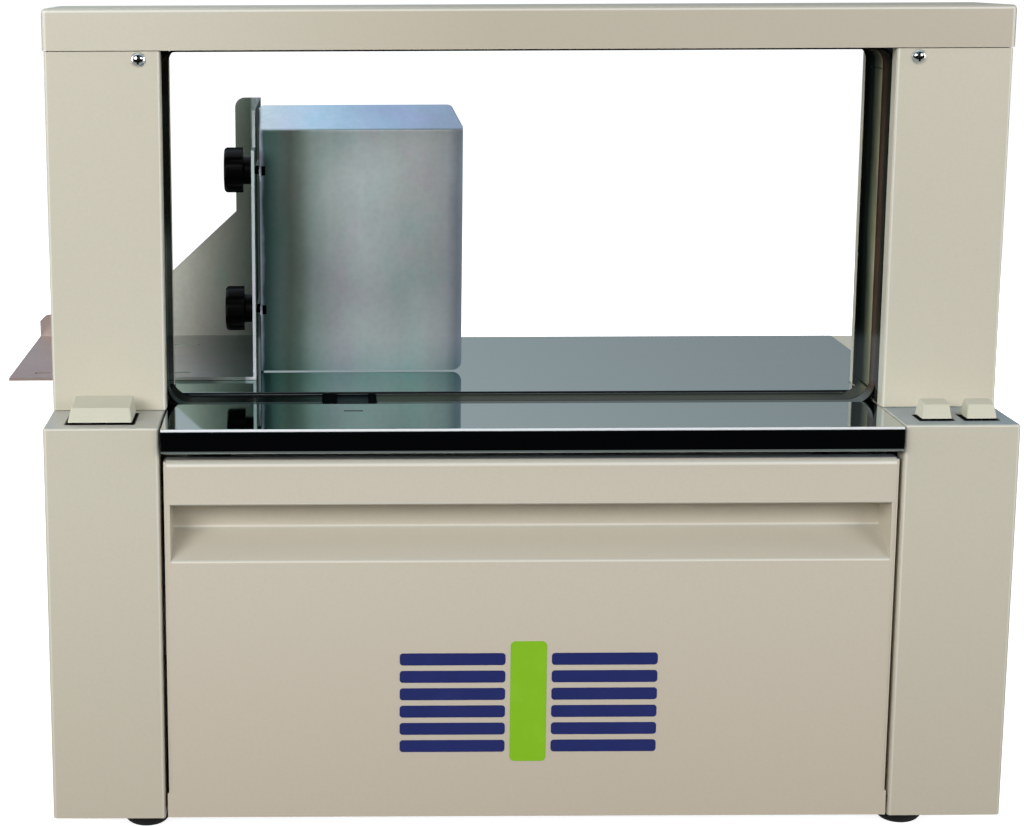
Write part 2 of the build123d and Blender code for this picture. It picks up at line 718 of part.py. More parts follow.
def follower_block(name, label):
    """A steel slide that its cam lifts towards the anvil."""
    x_range = follower_x[name]
    with BuildPart() as slide:
        if name == "cutter":
            slide_top = follower_top - blade_drop
            middle = (x_range[0] + x_range[1]) / 2
            block(x_range, (tape_front, tape_back), (follower_foot, slide_top))
            blade_x = (middle - 0.4, middle + 0.4)
            block(blade_x, (tape_front + 1, tape_back - 1), (slide_top, slide_top + blade_height))
        else:
            block(x_range, (tape_front, tape_back), (follower_foot, follower_top))
            for tooth in range(5):
                tooth_x = x_range[0] + 0.8 + tooth * 1.1
                tooth_range = (follower_top - 0.5, follower_top + 1)
                block((tooth_x, tooth_x + 0.5), (tape_front - 1, tape_back + 1), tooth_range, Mode.SUBTRACT)
        block((x_range[0] - 1, x_range[1] + 1), (cam_y - 5, cam_y + 5), (178.0, 205.0), Mode.SUBTRACT)
    slide.part.label = label
    export_step(slide.part, "parts/" + label + ".step")


follower_block("gripper", "band_gripper")
follower_block("cutter", "band_cutter")
follower_block("press", "seal_press")

anvil_tail = front + 150.0
actuator_front = front + 190.0
rod_radius = 3.0
rod_x = (anvil_left + anvil_right) / 2
rod_z = 228.0               # height of the actuator's rod
with BuildPart() as anvil_slide:
    block((anvil_left + 0.2, anvil_right - 0.2), (tape_front + 0.2, anvil_tail), (239.6, 241.4))
    block((rod_x - 5.0, rod_x + 5.0), (anvil_tail - 2.0, anvil_tail), (rod_z - 6.0, 239.7))
    rod((rod_x, anvil_tail - 1.0, rod_z), (0, 1, 0), rod_radius, 52.0)
anvil_slide.part.label = "anvil_slide"
export_step(anvil_slide.part, "parts/anvil_slide.step")

with BuildPart() as anvil_actuator:
    actuator_x = (rod_x - 17.2, rod_x + 16.8)
    block(actuator_x, (actuator_front, actuator_front + 52.0), (214.0, table_under - 0.2))
    fillet(anvil_actuator.edges().filter_by(Axis.Y), radius=2.0)
    rod((rod_x, actuator_front - 1, rod_z), (0, 1, 0), rod_radius + 0.05, 49.0, Mode.SUBTRACT)
anvil_actuator.part.label = "anvil_actuator"
export_step(anvil_actuator.part, "parts/anvil_actuator.step")

with BuildPart() as cam_motor:
    block((-192.0, -150.5), (front + 70.0, front + 116.0), (116.0, 160.0))
    fillet(cam_motor.edges().filter_by(Axis.X), radius=3.0)
    rod((-215.0, cam_y, cam_z), (1, 0, 0), 20.0, 24.0)
    rod((-165.0, cam_y, cam_z), (1, 0, 0), shaft_radius + 0.05, 16.0, Mode.SUBTRACT)
cam_motor.part.label = "cam_motor"
export_step(cam_motor.part, "parts/cam_motor.step")

# ================================================================ tape feed
feed_x = -30.0
feed_z = 193.0
feed_radius = 15.0
pinch_radius = 9.0
nip = 0.3
pinch_z = feed_z + feed_radius + pinch_radius + nip
feed_shaft = 4.0
pinch_shaft = 3.0
feed_plates = ((front + 66.0, front + 69.0), (front + 119.0, front + 122.0))

with BuildPart() as feed_frame:
    for plate_y in feed_plates:
        block((feed_x - 26, feed_x + 26), plate_y, (172.0, 236.0))
    block((feed_x - 26, feed_x - 20), (front + 69.0, front + 119.0), (172.0, 236.0))
    rod((feed_x, front + 60.0, feed_z), (0, 1, 0), feed_shaft + 0.05, 70.0, Mode.SUBTRACT)
    rod((feed_x, front + 60.0, pinch_z), (0, 1, 0), pinch_shaft + 0.05, 70.0, Mode.SUBTRACT)
feed_frame.part.label = "feed_frame"
export_step(feed_frame.part, "parts/feed_frame.step")

with BuildPart() as feed_roller:
    rod((feed_x, tape_front - 1, feed_z), (0, 1, 0), feed_radius, tape_width + 2)
    fillet(feed_roller.edges().filter_by(GeomType.CIRCLE), radius=1.0)
    rod((feed_x, front + 64.0, feed_z), (0, 1, 0), feed_shaft, 72.0)
feed_roller.part.label = "feed_roller"
export_step(feed_roller.part, "parts/feed_roller.step")

with BuildPart() as pinch_roller:
    rod((feed_x, tape_front - 1, pinch_z), (0, 1, 0), pinch_radius, tape_width + 2)
    fillet(pinch_roller.edges().filter_by(GeomType.CIRCLE), radius=0.8)
    rod((feed_x, front + 64.0, pinch_z), (0, 1, 0), pinch_shaft, 60.0)
pinch_roller.part.label = "pinch_roller"
export_step(pinch_roller.part, "parts/pinch_roller.step")

with BuildPart() as feed_motor:
    rod((feed_x, front + 123.0, feed_z), (0, 1, 0), 21.0, 58.0)
    fillet(feed_motor.edges().filter_by(GeomType.CIRCLE), radius=1.5)
    rod((feed_x, front + 122.0, feed_z), (0, 1, 0), feed_shaft + 0.05, 18.0, Mode.SUBTRACT)
feed_motor.part.label = "feed_motor"
export_step(feed_motor.part, "parts/feed_motor.step")

# ---------------------------------------------------------------- tape roll
reel_x = 120.0
reel_z = 93.0
roll_radius = 75.0
core_radius = 20.0
spindle_radius = 6.0
reel_flange_radius = 78.0
reel_cap_radius = 36.0
reel_grip_radius = 14.0

with BuildPart() as tape_roll:
    rod((reel_x, tape_front, reel_z), (0, 1, 0), roll_radius, tape_width)
    rod((reel_x, tape_front - 1, reel_z), (0, 1, 0), core_radius, tape_width + 2, Mode.SUBTRACT)
tape_roll.part.label = "tape_roll"
export_step(tape_roll.part, "parts/tape_roll.step")

with BuildPart() as reel_hub:
    rod((reel_x, tape_front, reel_z), (0, 1, 0), core_radius - 0.2, tape_width + 0.3)
    rod((reel_x, tape_back + 0.3, reel_z), (0, 1, 0), reel_flange_radius, 2.0)
    rod((reel_x, tape_front - 1, reel_z), (0, 1, 0), spindle_radius + 0.05, tape_width + 5, Mode.SUBTRACT)
    with BuildSketch(plane_facing_front(tape_back + 4)):
        with Locations((reel_x, reel_z)):
            with PolarLocations(52.0, 6):
                Circle(14.0)
    extrude(amount=3.8, mode=Mode.SUBTRACT)
reel_hub.part.label = "reel_hub"
export_step(reel_hub.part, "parts/reel_hub.step")

with BuildPart() as reel_cap:
    rod((reel_x, tape_front - 3.2, reel_z), (0, 1, 0), reel_cap_radius, 3.0)
    rod((reel_x, tape_front - 15.0, reel_z), (0, 1, 0), reel_grip_radius, 12.0)
    with BuildSketch(plane_facing_front(tape_front - 3.0)):
        with Locations((reel_x, reel_z)):
            with PolarLocations(reel_grip_radius + 1.5, 8):
                Circle(2.5)
    extrude(amount=12.5, mode=Mode.SUBTRACT)
    rod((reel_x, tape_front - 8.0, reel_z), (0, 1, 0), spindle_radius + 0.05, 9.0, Mode.SUBTRACT)
reel_cap.part.label = "reel_cap"
export_step(reel_cap.part, "parts/reel_cap.step")

bracket_y = front + 124.0
with BuildPart() as reel_bracket:
    block((reel_x - 26, reel_x + 26), (bracket_y, bracket_y + 3), (pan_sheet + 0.1, 135.0))
    block((reel_x - 26, reel_x + 26), (bracket_y, bracket_y + 40), (pan_sheet + 0.1, pan_sheet + 3.1))
    rod((reel_x, bracket_y - 1, reel_z), (0, 1, 0), spindle_radius + 0.02, 5.0, Mode.SUBTRACT)
reel_bracket.part.label = "reel_bracket"
export_step(reel_bracket.part, "parts/reel_bracket.step")

with BuildPart() as reel_spindle:
    rod((reel_x, tape_front - 6.0, reel_z), (0, 1, 0), spindle_radius, bracket_y + 3 - tape_front + 6.0)
    rod((reel_x, bracket_y + 3, reel_z), (0, 1, 0), 9.0, 5.0)
reel_spindle.part.label = "reel_spindle"
export_step(reel_spindle.part, "parts/reel_spindle.step")

# ---------------------------------------------------------------- tension arm
pivot_x = 40.0
pivot_z = 190.0
arm_length = 60.0
arm_y = front + 113.0
arm_pin = 3.0
arm_plate = 4.0
dancer_x = pivot_x + arm_length
dancer_radius = 8.0

with BuildPart() as tension_arm:
    with BuildSketch(plane_facing_front(arm_y + arm_plate)):
        with Locations(((pivot_x + dancer_x) / 2, pivot_z)):
            SlotCenterToCenter(arm_length, 2 * dancer_radius)
        with Locations((pivot_x, pivot_z)):
            Circle(arm_pin + 0.05, mode=Mode.SUBTRACT)
    extrude(amount=arm_plate)
    rod((dancer_x, tape_front - 3, pivot_z), (0, 1, 0), arm_pin, arm_y - tape_front + arm_plate)
tension_arm.part.label = "tension_arm"
export_step(tension_arm.part, "parts/tension_arm.step")

with BuildPart() as tension_roller:
    rod((dancer_x, tape_front - 1, pivot_z), (0, 1, 0), dancer_radius, tape_width + 2)
    rod((dancer_x, tape_front - 2, pivot_z), (0, 1, 0), arm_pin + 0.05, tape_width + 4, Mode.SUBTRACT)
tension_roller.part.label = "tension_roller"
export_step(tension_roller.part, "parts/tension_roller.step")

with BuildPart() as tension_bracket:
    block((pivot_x - 12, pivot_x + 12), (arm_y + 4.5, arm_y + 7.5), (178.0, table_under - 0.2))
    rod((pivot_x, arm_y - 1.5, pivot_z), (0, 1, 0), arm_pin, 8.0)
    rod((pivot_x, arm_y - 2.5, pivot_z), (0, 1, 0), arm_pin + 2, 2.0)
tension_bracket.part.label = "tension_bracket"
export_step(tension_bracket.part, "parts/tension_bracket.step")

# ================================================================ electrics
board_y = front + 262.0
with BuildPart() as control_board:
    block((-200.0, -40.0), (board_y, board_y + 1.6), (70.0, 180.0))
    for chip_x, chip_z, chip_w, chip_h, chip_d in (
        (-170.0, 150.0, 22.0, 22.0, 3.0),
        (-130.0, 120.0, 30.0, 14.0, 12.0),
        (-80.0, 150.0, 40.0, 10.0, 10.0),
        (-80.0, 95.0, 24.0, 24.0, 22.0),
    ):
        block((chip_x - chip_w / 2, chip_x + chip_w / 2), (board_y - chip_d, board_y),
              (chip_z - chip_h / 2, chip_z + chip_h / 2))
    for post_x in (-192.0, -48.0):
        for post_z in (78.0, 172.0):
            rod((post_x, board_y + 1.6, post_z), (0, 1, 0), 3.5, 8.0)
control_board.part.label = "control_board"
export_step(control_board.part, "parts/control_board.step")

with BuildPart() as transformer:
    block((-30.0, 40.0), (front + 215.0, front + 265.0), (pan_sheet + 0.2, 62.0))
    block((-12.0, 22.0), (front + 200.0, front + 280.0), (12.0, 52.0))
    fillet(transformer.edges().filter_by(Axis.Y).group_by(Axis.Z)[-2], radius=4.0)
transformer.part.label = "transformer"
export_step(transformer.part, "parts/transformer.step")

rocker_x = inlet_x + 14.5
rocker_size = (12.6, 19.6)
rocker_pivot_y = back - 6.0
with BuildPart() as power_inlet:
    block((inlet_x - 23.3, inlet_x + 23.3), (back - 26.0, back), (inlet_z - 13.3, inlet_z + 13.3))
    block((inlet_x - 26.0, inlet_x + 26.0), (back, back + 1.8), (inlet_z - 16.0, inlet_z + 16.0))
    fillet(power_inlet.faces().sort_by(Axis.Y)[-1].edges(), radius=0.8)
    with BuildSketch(plane_facing_front(back + 3)):
        with Locations((inlet_x - 7.5, inlet_z)):
            Polygon((-12, -8.5), (12, -8.5), (12, 4.5), (8.5, 8.5), (-8.5, 8.5), (-12, 4.5), align=None)
    extrude(amount=21.0, mode=Mode.SUBTRACT)
    for blade_x, blade_z in ((-7.0, -2.0), (0, 2.5), (7.0, -2.0)):
        pin_x = inlet_x - 7.5 + blade_x
        pin_z = inlet_z + blade_z
        block((pin_x - 1.0, pin_x + 1.0), (back - 19.0, back - 3.0), (pin_z - 2, pin_z + 2))
    rocker_z = (inlet_z - 10.0, inlet_z + 10.0)
    block((rocker_x - 6.5, rocker_x + 6.5), (back - 18.0, back + 3), rocker_z, Mode.SUBTRACT)
power_inlet.part.label = "power_inlet"
export_step(power_inlet.part, "parts/power_inlet.step")

rocker_tilt = 8.0
rocker_reach = 9.7
rocker_rest = 7.0           # degrees the rocker leans when switched off
rocker_plane = Plane(
    origin=(rocker_x - rocker_size[0] / 2 + 0.1, rocker_pivot_y, inlet_z),
    x_dir=(0, cos(radians(rocker_rest)), sin(radians(rocker_rest))),
    z_dir=(1, 0, 0),
)
with BuildPart() as power_rocker:
    with BuildSketch(rocker_plane):
        Circle(rocker_reach)
        with Locations((-6.0, 0)):
            Rectangle(14.0, 2 * rocker_reach + 2, mode=Mode.SUBTRACT)
        with Locations((1.0, 0)):
            Circle(3.5)
        with Locations(Location((14.4, 2.0), rocker_tilt), Location((14.4, -2.0), -rocker_tilt)):
            Rectangle(10.0, 40.0, mode=Mode.SUBTRACT)
    extrude(amount=rocker_size[0] - 0.2)
power_rocker.part.label = "power_rocker"
export_step(power_rocker.part, "parts/power_rocker.step")

# ================================================================ stop and gauge
gauge_sheet = 2.0
gauge_z = table_height + 0.2
gauge_left = -331.0
wall_x = -167.7             # right face of the upright side plate
gauge_front = front + 157.0
gauge_back = back
gauge_low = 262.0           # top of the low strip at the back
gauge_high = 419.3
step_z = 395.0
step_y = front + 184.0
knob_heights = (table_height + 42.0, table_height + 135.0)
stop_y = front + 188.0
stud_y = front + 197.0
stud_radius = 2.9
slot_half = 3.3
slot_front = front + 172.0
slot_back = front + 316.0

with BuildPart() as gauge_bracket:
    block((gauge_left, wall_x), (gauge_front, gauge_back), (gauge_z, gauge_z + gauge_sheet))
    with BuildSketch(plane_facing_front(gauge_back)):
        with BuildLine():
            Polyline(
                (gauge_left, gauge_z),
                (gauge_left, 257.5),
                (gauge_left + 5.0, gauge_low),
                (gauge_left + 62.8, gauge_low),
                (wall_x - 18.5, 337.5),
                (wall_x - 18.5, gauge_high),
                (wall_x, gauge_high),
                (wall_x, gauge_z),
                close=True,
            )
        make_face()
    extrude(amount=gauge_sheet)
    top_corner = gauge_bracket.edges().filter_by(Axis.Y).group_by(Axis.Z)[-1].sort_by(Axis.X)[0]
    fillet(top_corner, radius=7.0)
    with BuildSketch(plane_facing_right(wall_x - gauge_sheet)):
        with BuildLine():
            Polyline(
                (gauge_front, gauge_z),
                (gauge_front, step_z),
                (step_y, step_z),
                (step_y, gauge_high),
                (gauge_back, gauge_high),
                (gauge_back, gauge_z),
                close=True,
            )
        make_face()
        for slot_z in knob_heights:
            with Locations(((slot_front + slot_back) / 2, slot_z)):
                SlotOverall(slot_back - slot_front, 2 * slot_half, mode=Mode.SUBTRACT)
    extrude(amount=gauge_sheet)
    with BuildSketch(Plane.XY.offset(gauge_z - 1)):
        for screw_y in clamp_screw_y:
            with Locations((-264.0, screw_y)):
                SlotOverall(104.0, 5.6)
    extrude(amount=gauge_sheet + 2, mode=Mode.SUBTRACT)
    outer_bends = gauge_bracket.edges().filter_by(Axis.X).group_by(Axis.Z)[0].sort_by(Axis.Y)[-1]
    fillet(outer_bends, radius=1.6)
gauge_bracket.part.label = "gauge_bracket"
export_step(gauge_bracket.part, "parts/gauge_bracket.step")

with BuildPart() as gauge_clamp_screws:
    for screw_y in clamp_screw_y:
        head_z = gauge_z + gauge_sheet + 0.1
        rod((clamp_screw_x, screw_y, head_z), (0, 0, 1), 4.2, 2.4)
        rod((clamp_screw_x, screw_y, table_under - 4.0), (0, 0, 1), clamp_shank, head_z - table_under + 4.5)
    fillet(gauge_clamp_screws.faces().sort_by(Axis.Z)[-2:].edges(), radius=1.0)
    with BuildSketch(Plane.XY.offset(gauge_z + gauge_sheet + 3.0)):
        for screw_y in clamp_screw_y:
            with Locations((clamp_screw_x, screw_y)):
                RegularPolygon(1.7, 6)
    extrude(amount=-1.6, mode=Mode.SUBTRACT)
gauge_clamp_screws.part.label = "gauge_clamp_screws"
export_step(gauge_clamp_screws.part, "parts/gauge_clamp_screws.step")

# ---------------------------------------------------------------- stop plate
stop_sheet = 1.6
stop_left = -165.6
stop_right = -30.6
stop_bottom = table_height + 0.8
stop_top = 406.3
flange_run = 24.0
flange_rise = 15.0
flange_taper = 7.0          # the flange gets this much shorter towards its free edge
side_flange = 30.0

with BuildPart() as stop_plate:
    with BuildSketch(plane_facing_right(stop_left)):
        with BuildLine():
            FilletPolyline(
                (stop_y, stop_bottom),
                (stop_y, stop_top),
                (stop_y + flange_run, stop_top + flange_rise),
                radius=2.4,
            )
            offset(amount=stop_sheet, side=Side.RIGHT)
        make_face()
    extrude(amount=stop_right - stop_left)
    lower_corners = stop_plate.edges().filter_by(Axis.Y).group_by(Axis.Z)[0]
    fillet(lower_corners.sort_by(Axis.X)[-1], radius=6.0)
    with BuildSketch(Plane.XY.offset(stop_top)):
        Polygon(
            (stop_right, stop_y + 4.0),
            (stop_right - flange_taper, stop_y + flange_run + 2.0),
            (stop_right + 2.0, stop_y + flange_run + 2.0),
            (stop_right + 2.0, stop_y + 4.0),
            align=None,
        )
    extrude(amount=flange_rise + 4.0, mode=Mode.SUBTRACT)
    far_corners = stop_plate.faces().sort_by(Axis.Y)[-1].edges().filter_by(Axis.X, reverse=True)
    fillet(far_corners, radius=4.0)
    return_y = (stop_y + 1.0, stop_y + side_flange)
    block((stop_left, stop_left + stop_sheet), return_y, (stop_bottom, stop_top - 1.0))
    bend = stop_plate.edges().filter_by(Axis.Z).group_by(Axis.X)[0].sort_by(Axis.Y)[0]
    fillet(bend, radius=1.2)
    for stud_z in knob_heights:
        notch_y = (stop_y - 1, stop_y + stop_sheet + 2.2)
        block((stop_left - 1, stop_left + 4.2), notch_y, (stud_z - 3.2, stud_z + 3.2), Mode.SUBTRACT)
        rod((stop_left - 1, stud_y, stud_z), (1, 0, 0), stud_radius + 0.02, 4.0, Mode.SUBTRACT)
stop_plate.part.label = "stop_plate"
export_step(stop_plate.part, "parts/stop_plate.step")

knob_face = wall_x - gauge_sheet - 0.3
knob_neck_length = 6.3
knob_head_length = 12.4
knob_neck_radius = 9.4
knob_radius = 15.0
stud_end = knob_face - 12.0
with BuildPart() as stop_studs:
    for stud_z in knob_heights:
        rod((stud_end, stud_y, stud_z), (1, 0, 0), stud_radius, stop_left + stop_sheet - stud_end + 0.1)
        rod((stop_left + stop_sheet + 0.1, stud_y, stud_z), (1, 0, 0), 6.0, 2.8)
stop_studs.part.label = "stop_studs"
export_step(stop_studs.part, "parts/stop_studs.step")


def lobed_knob(stud_z, label):
    """A black clamp knob with seven shallow finger scallops and a round neck."""
    with BuildPart() as knob:
        with BuildSketch(plane_facing_right(knob_face)):
            with Locations((stud_y, stud_z)):
                Circle(knob_neck_radius)
        extrude(amount=-knob_neck_length)
        with BuildSketch(plane_facing_right(knob_face - knob_neck_length)):
            with Locations((stud_y, stud_z)):
                Circle(knob_radius)
        extrude(amount=-knob_head_length)
        fillet(knob.faces().sort_by(Axis.X)[0].edges(), radius=2.4)
        with BuildSketch(plane_facing_right(knob_face - knob_neck_length)):
            with Locations((stud_y, stud_z)):
                with PolarLocations(knob_radius + 3.4, 7):
                    Circle(5.4)
        extrude(amount=-knob_head_length - 1, mode=Mode.SUBTRACT)
        rod((knob_face + 1, stud_y, stud_z), (-1, 0, 0), stud_radius + 0.05, 14.5, Mode.SUBTRACT)
    knob.part.label = label
    export_step(knob.part, "parts/" + label + ".step")


lobed_knob(knob_heights[1], "upper_knob")
lobed_knob(knob_heights[0], "lower_knob")
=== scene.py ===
import json
import math

import bmesh
import bpy
from mathutils import Matrix, Vector


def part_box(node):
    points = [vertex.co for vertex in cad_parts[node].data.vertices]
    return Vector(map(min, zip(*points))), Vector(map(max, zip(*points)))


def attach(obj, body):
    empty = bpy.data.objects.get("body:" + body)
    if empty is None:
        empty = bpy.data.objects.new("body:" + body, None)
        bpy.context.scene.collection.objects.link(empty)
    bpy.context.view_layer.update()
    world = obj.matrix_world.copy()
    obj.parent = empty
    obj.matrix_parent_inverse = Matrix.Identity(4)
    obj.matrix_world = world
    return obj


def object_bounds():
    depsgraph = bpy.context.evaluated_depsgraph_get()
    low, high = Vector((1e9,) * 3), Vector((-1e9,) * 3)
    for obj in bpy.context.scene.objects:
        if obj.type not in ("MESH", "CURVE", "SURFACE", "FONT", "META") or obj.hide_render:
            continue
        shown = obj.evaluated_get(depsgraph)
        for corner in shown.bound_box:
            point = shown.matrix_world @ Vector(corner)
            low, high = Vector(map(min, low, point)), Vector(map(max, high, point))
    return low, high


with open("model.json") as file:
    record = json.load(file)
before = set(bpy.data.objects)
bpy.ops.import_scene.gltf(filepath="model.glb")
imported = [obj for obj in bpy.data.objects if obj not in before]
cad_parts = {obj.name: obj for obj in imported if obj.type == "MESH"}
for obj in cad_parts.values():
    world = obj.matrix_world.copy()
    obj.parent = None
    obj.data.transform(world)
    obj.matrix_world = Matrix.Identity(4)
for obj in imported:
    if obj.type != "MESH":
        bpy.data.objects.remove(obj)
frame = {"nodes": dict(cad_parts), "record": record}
cad_low, cad_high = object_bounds()
nodes = frame["nodes"]
scene = bpy.context.scene
MM = 0.001
WHITE = (1.0, 1.0, 1.0, 1.0)


# ---------------------------------------------------------------- material helpers
def srgb(r, g, b):
    """Turn 0-255 screen values into the linear colour that node sockets take."""
    out = []
    for v in (r, g, b):
        c = v / 255.0
        out.append(c / 12.92 if c <= 0.04045 else ((c + 0.055) / 1.055) ** 2.4)
    return (*out, 1.0)


class Nodes:
    """A small wrapper that adds nodes to one node tree and links them."""

    def __init__(self, tree, output, coordinate):
        self.tree = tree
        self.tree.nodes.clear()
        self.out = self.add(output)
        self.coord = self.add("ShaderNodeTexCoord").outputs[coordinate]

    def add(self, kind, **settings):
        node = self.tree.nodes.new(kind)
        for key, value in settings.items():
            setattr(node, key, value)
        return node

    def put(self, socket, value):
        if hasattr(value, "is_output"):
            self.tree.links.new(value, socket)
        else:
            socket.default_value = value

    def stretched(self, scale):
        node = self.add("ShaderNodeMapping")
        self.put(node.inputs["Vector"], self.coord)
        node.inputs["Scale"].default_value = scale
        return node.outputs["Vector"]

    def noise(self, scale, detail=4.0, rough=0.5, stretch=None):
        node = self.add("ShaderNodeTexNoise")
        self.put(node.inputs["Vector"], self.stretched(stretch) if stretch else self.coord)
        node.inputs["Scale"].default_value = scale
        node.inputs["Detail"].default_value = detail
        node.inputs["Roughness"].default_value = rough
        return node.outputs["Fac"]

    def ramp(self, value, low, high, to_low=0.0, to_high=1.0):
        node = self.add("ShaderNodeMapRange")
        node.clamp = True
        self.put(node.inputs["Value"], value)
        node.inputs["From Min"].default_value = low
        node.inputs["From Max"].default_value = high
        node.inputs["To Min"].default_value = to_low
        node.inputs["To Max"].default_value = to_high
        return node.outputs["Result"]

    def mix(self, factor, a, b, blend="MIX"):
        node = self.add("ShaderNodeMix", data_type="RGBA", blend_type=blend)
        self.put(node.inputs["Factor"], factor)
        self.put(node.inputs["A"], a)
        self.put(node.inputs["B"], b)
        return node.outputs["Result"]

    def tinted(self, colour, share, at_low, at_high=WHITE):
        """Multiply colour by a tint that runs from at_low to at_high with share."""
        return self.mix(1.0, colour, self.mix(share, at_low, at_high), "MULTIPLY")

    def colour_ramp(self, value, stops):
        node = self.add("ShaderNodeValToRGB")
        self.put(node.inputs[0], value)
        elements = node.color_ramp.elements
        while len(elements) < len(stops):
            elements.new(0.5)
        for element, (place, colour) in zip(elements, stops):
            element.position = place
            element.color = colour
        return node.outputs["Color"]

    def shader(self, kind, **values):
        """Add a shader node and set or link its inputs by name, with _ for a space."""
        node = self.add(kind)
        for key, value in values.items():
            self.put(node.inputs[key.replace("_", " ")], value)
        return node.outputs[0]

    def either(self, ray, otherwise, when_ray):
        """One shader for rays of a kind and another for all other rays."""
        kinds = self.add("ShaderNodeLightPath")
        node = self.add("ShaderNodeMixShader")
        self.put(node.inputs[0], kinds.outputs[ray])
        self.put(node.inputs[1], otherwise)
        self.put(node.inputs[2], when_ray)
        return node.outputs[0]

    def surface(self, shader):
        self.put(self.out.inputs["Surface"], shader)

    def math(self, operation, a, b=0.0):
        node = self.add("ShaderNodeMath", operation=operation)
        self.put(node.inputs[0], a)
        self.put(node.inputs[1], b)
        return node.outputs[0]

    def bump(self, height, strength, distance):
        node = self.add("ShaderNodeBump")
        self.put(node.inputs["Height"], height)
        node.inputs["Strength"].default_value = strength
        node.inputs["Distance"].default_value = distance
        return node.outputs["Normal"]

    def part_of(self, vector, index):
        node = self.add("ShaderNodeSeparateXYZ")
        self.put(node.inputs[0], vector)
        return node.outputs[index]

    def axis(self, index):
        """Place along X, Y or Z (0, 1 or 2), in metres."""
        return self.part_of(self.coord, index)

    def facing(self, index):
        """How far the surface faces X, Y or Z (0, 1 or 2), from -1 to 1."""
        return self.part_of(self.add("ShaderNodeNewGeometry").outputs["Normal"], index)


class Paint(Nodes):
    """The node tree of a new material, painted in the coordinates of the part."""

    def __init__(self, name):
        self.material = bpy.data.materials.new(name)
        self.material.use_nodes = True
        super().__init__(self.material.node_tree, "ShaderNodeOutputMaterial", "Object")

    def principled(self, **values):
        self.surface(self.shader("ShaderNodeBsdfPrincipled", **values))
        return self.material


def paint(name, colour, dark, roughness=0.30, grain=900.0, depth=0.00003, shade=None):
    """Powder coat: fine orange peel, slow tone drift, painted shade low down, painted bend highlights,
    painted sky reflection on ledges.
    """
    n = Paint(name)
    tone = n.mix(n.noise(2.2, 1.0, 0.4), colour, dark)
    speck = n.ramp(n.noise(grain, 2.0), 0.35, 0.65, 0.985, 1.01)
    speckled = n.mix(1.0, tone, speck, "MULTIPLY")
    # painted shade: the paint darkens towards the floor
    speckled = n.tinted(speckled, n.ramp(n.axis(2), 0.0, 0.2), LOW_SHADE_TINT)
    # painted shade along X, when shade is given
    if shade:
        low, high, tint = shade
        speckled = n.tinted(speckled, n.ramp(n.axis(0), low, high), WHITE, tint)
    # painted highlight: a pale line along the bends, fainter low down
    across = n.math("ABSOLUTE", n.facing(0))
    along = n.math("ABSOLUTE", n.facing(2))
    turned = n.math("MAXIMUM", across, along)
    bend_line = n.math("MULTIPLY", n.ramp(turned, 0.06, 0.22), n.ramp(turned, 0.40, 0.60, 1.0, 0.0))
    line_share = n.math("MULTIPLY", bend_line, n.ramp(n.axis(2), 0.05, 0.26, 0.3, 0.62))
    highlighted = n.mix(line_share, speckled, BEND_LIGHT)
    # painted sky reflection on the front ledges, bluer to the right
    weight = n.add("ShaderNodeLayerWeight")
    weight.inputs["Blend"].default_value = 0.5
    ledge = n.math("MULTIPLY", n.ramp(n.facing(2), 0.85, 0.97), n.ramp(n.axis(2), 0.25, 0.26, 1.0, 0.0))
    front_part = n.ramp(n.axis(1), -0.10, -0.04, 1.0, 0.0)
    low_look = n.math("MULTIPLY", front_part, n.ramp(weight.outputs["Facing"], 0.55, 0.74))
    graze = n.math("MULTIPLY", ledge, low_look)
    sky = n.mix(n.ramp(n.axis(0), -0.25, 0.25), SKY_LEFT, SKY_RIGHT)
    sky_reflected = n.mix(1.0, highlighted, sky, "MULTIPLY")
    # painted sky reflection: upward slopes turn cooler
    steep = n.ramp(n.facing(2), 0.45, 0.6)
    sloped = n.math("MULTIPLY", steep, n.ramp(n.facing(2), 0.85, 0.97, 1.0, 0.0))
    slope_reflected = n.mix(sloped, highlighted, n.mix(1.0, highlighted, SLOPE_SKY_TINT, "MULTIPLY"))
    final = n.mix(graze, slope_reflected, sky_reflected)
    gloss = n.ramp(n.noise(7.0, 2.0, 0.5), 0.2, 0.8, roughness - 0.02, roughness + 0.03)
    peel = n.bump(n.noise(grain, 2.0, 0.6), 0.25, depth)
    return n.principled(Base_Color=final, Roughness=gloss, Normal=peel, Specular_IOR_Level=0.7)


def steel(name, colour, roughness, stretch, scratch=0.00002, stain=None, drift=6.0):
    """Bare sheet: fine lines along one axis, cloudy gloss and an optional stain colour."""
    n = Paint(name)
    lines = n.noise(260.0, 4.0, 0.7, stretch=stretch)
    cloud = n.noise(drift, 5.0, 0.6)
    base = n.mix(n.ramp(cloud, 0.35, 0.7), colour, stain or colour)
    shade = n.ramp(lines, 0.2, 0.8, 0.93, 1.03)
    tinted = n.mix(1.0, base, shade, "MULTIPLY")
    rough = n.ramp(cloud, 0.3, 0.75, roughness * 0.75, roughness * 1.3)
    scratched = n.bump(lines, 0.25, scratch)
    return n.principled(Base_Color=tinted, Metallic=1.0, Roughness=rough, Normal=scratched)


def plated(name, colour, roughness):
    """Bright plated fastener: painted shade in its recesses, fine turning marks."""
    n = Paint(name)
    # painted shade in the recesses, from ambient occlusion
    cavity = n.add("ShaderNodeAmbientOcclusion")
    cavity.samples = 8
    cavity.inputs["Distance"].default_value = 2.2 * MM
    shade = n.ramp(cavity.outputs["AO"], 0.45, 0.85, 0.04, 1.0)
    marks = n.noise(500.0, 3.0, 0.6)
    turned = n.mix(1.0, colour, n.ramp(marks, 0.2, 0.8, 0.9, 1.05), "MULTIPLY")
    base = n.mix(1.0, turned, shade, "MULTIPLY")
    marked = n.bump(marks, 0.2, 0.00001)
    return n.principled(Base_Color=base, Metallic=1.0, Roughness=roughness, Normal=marked)


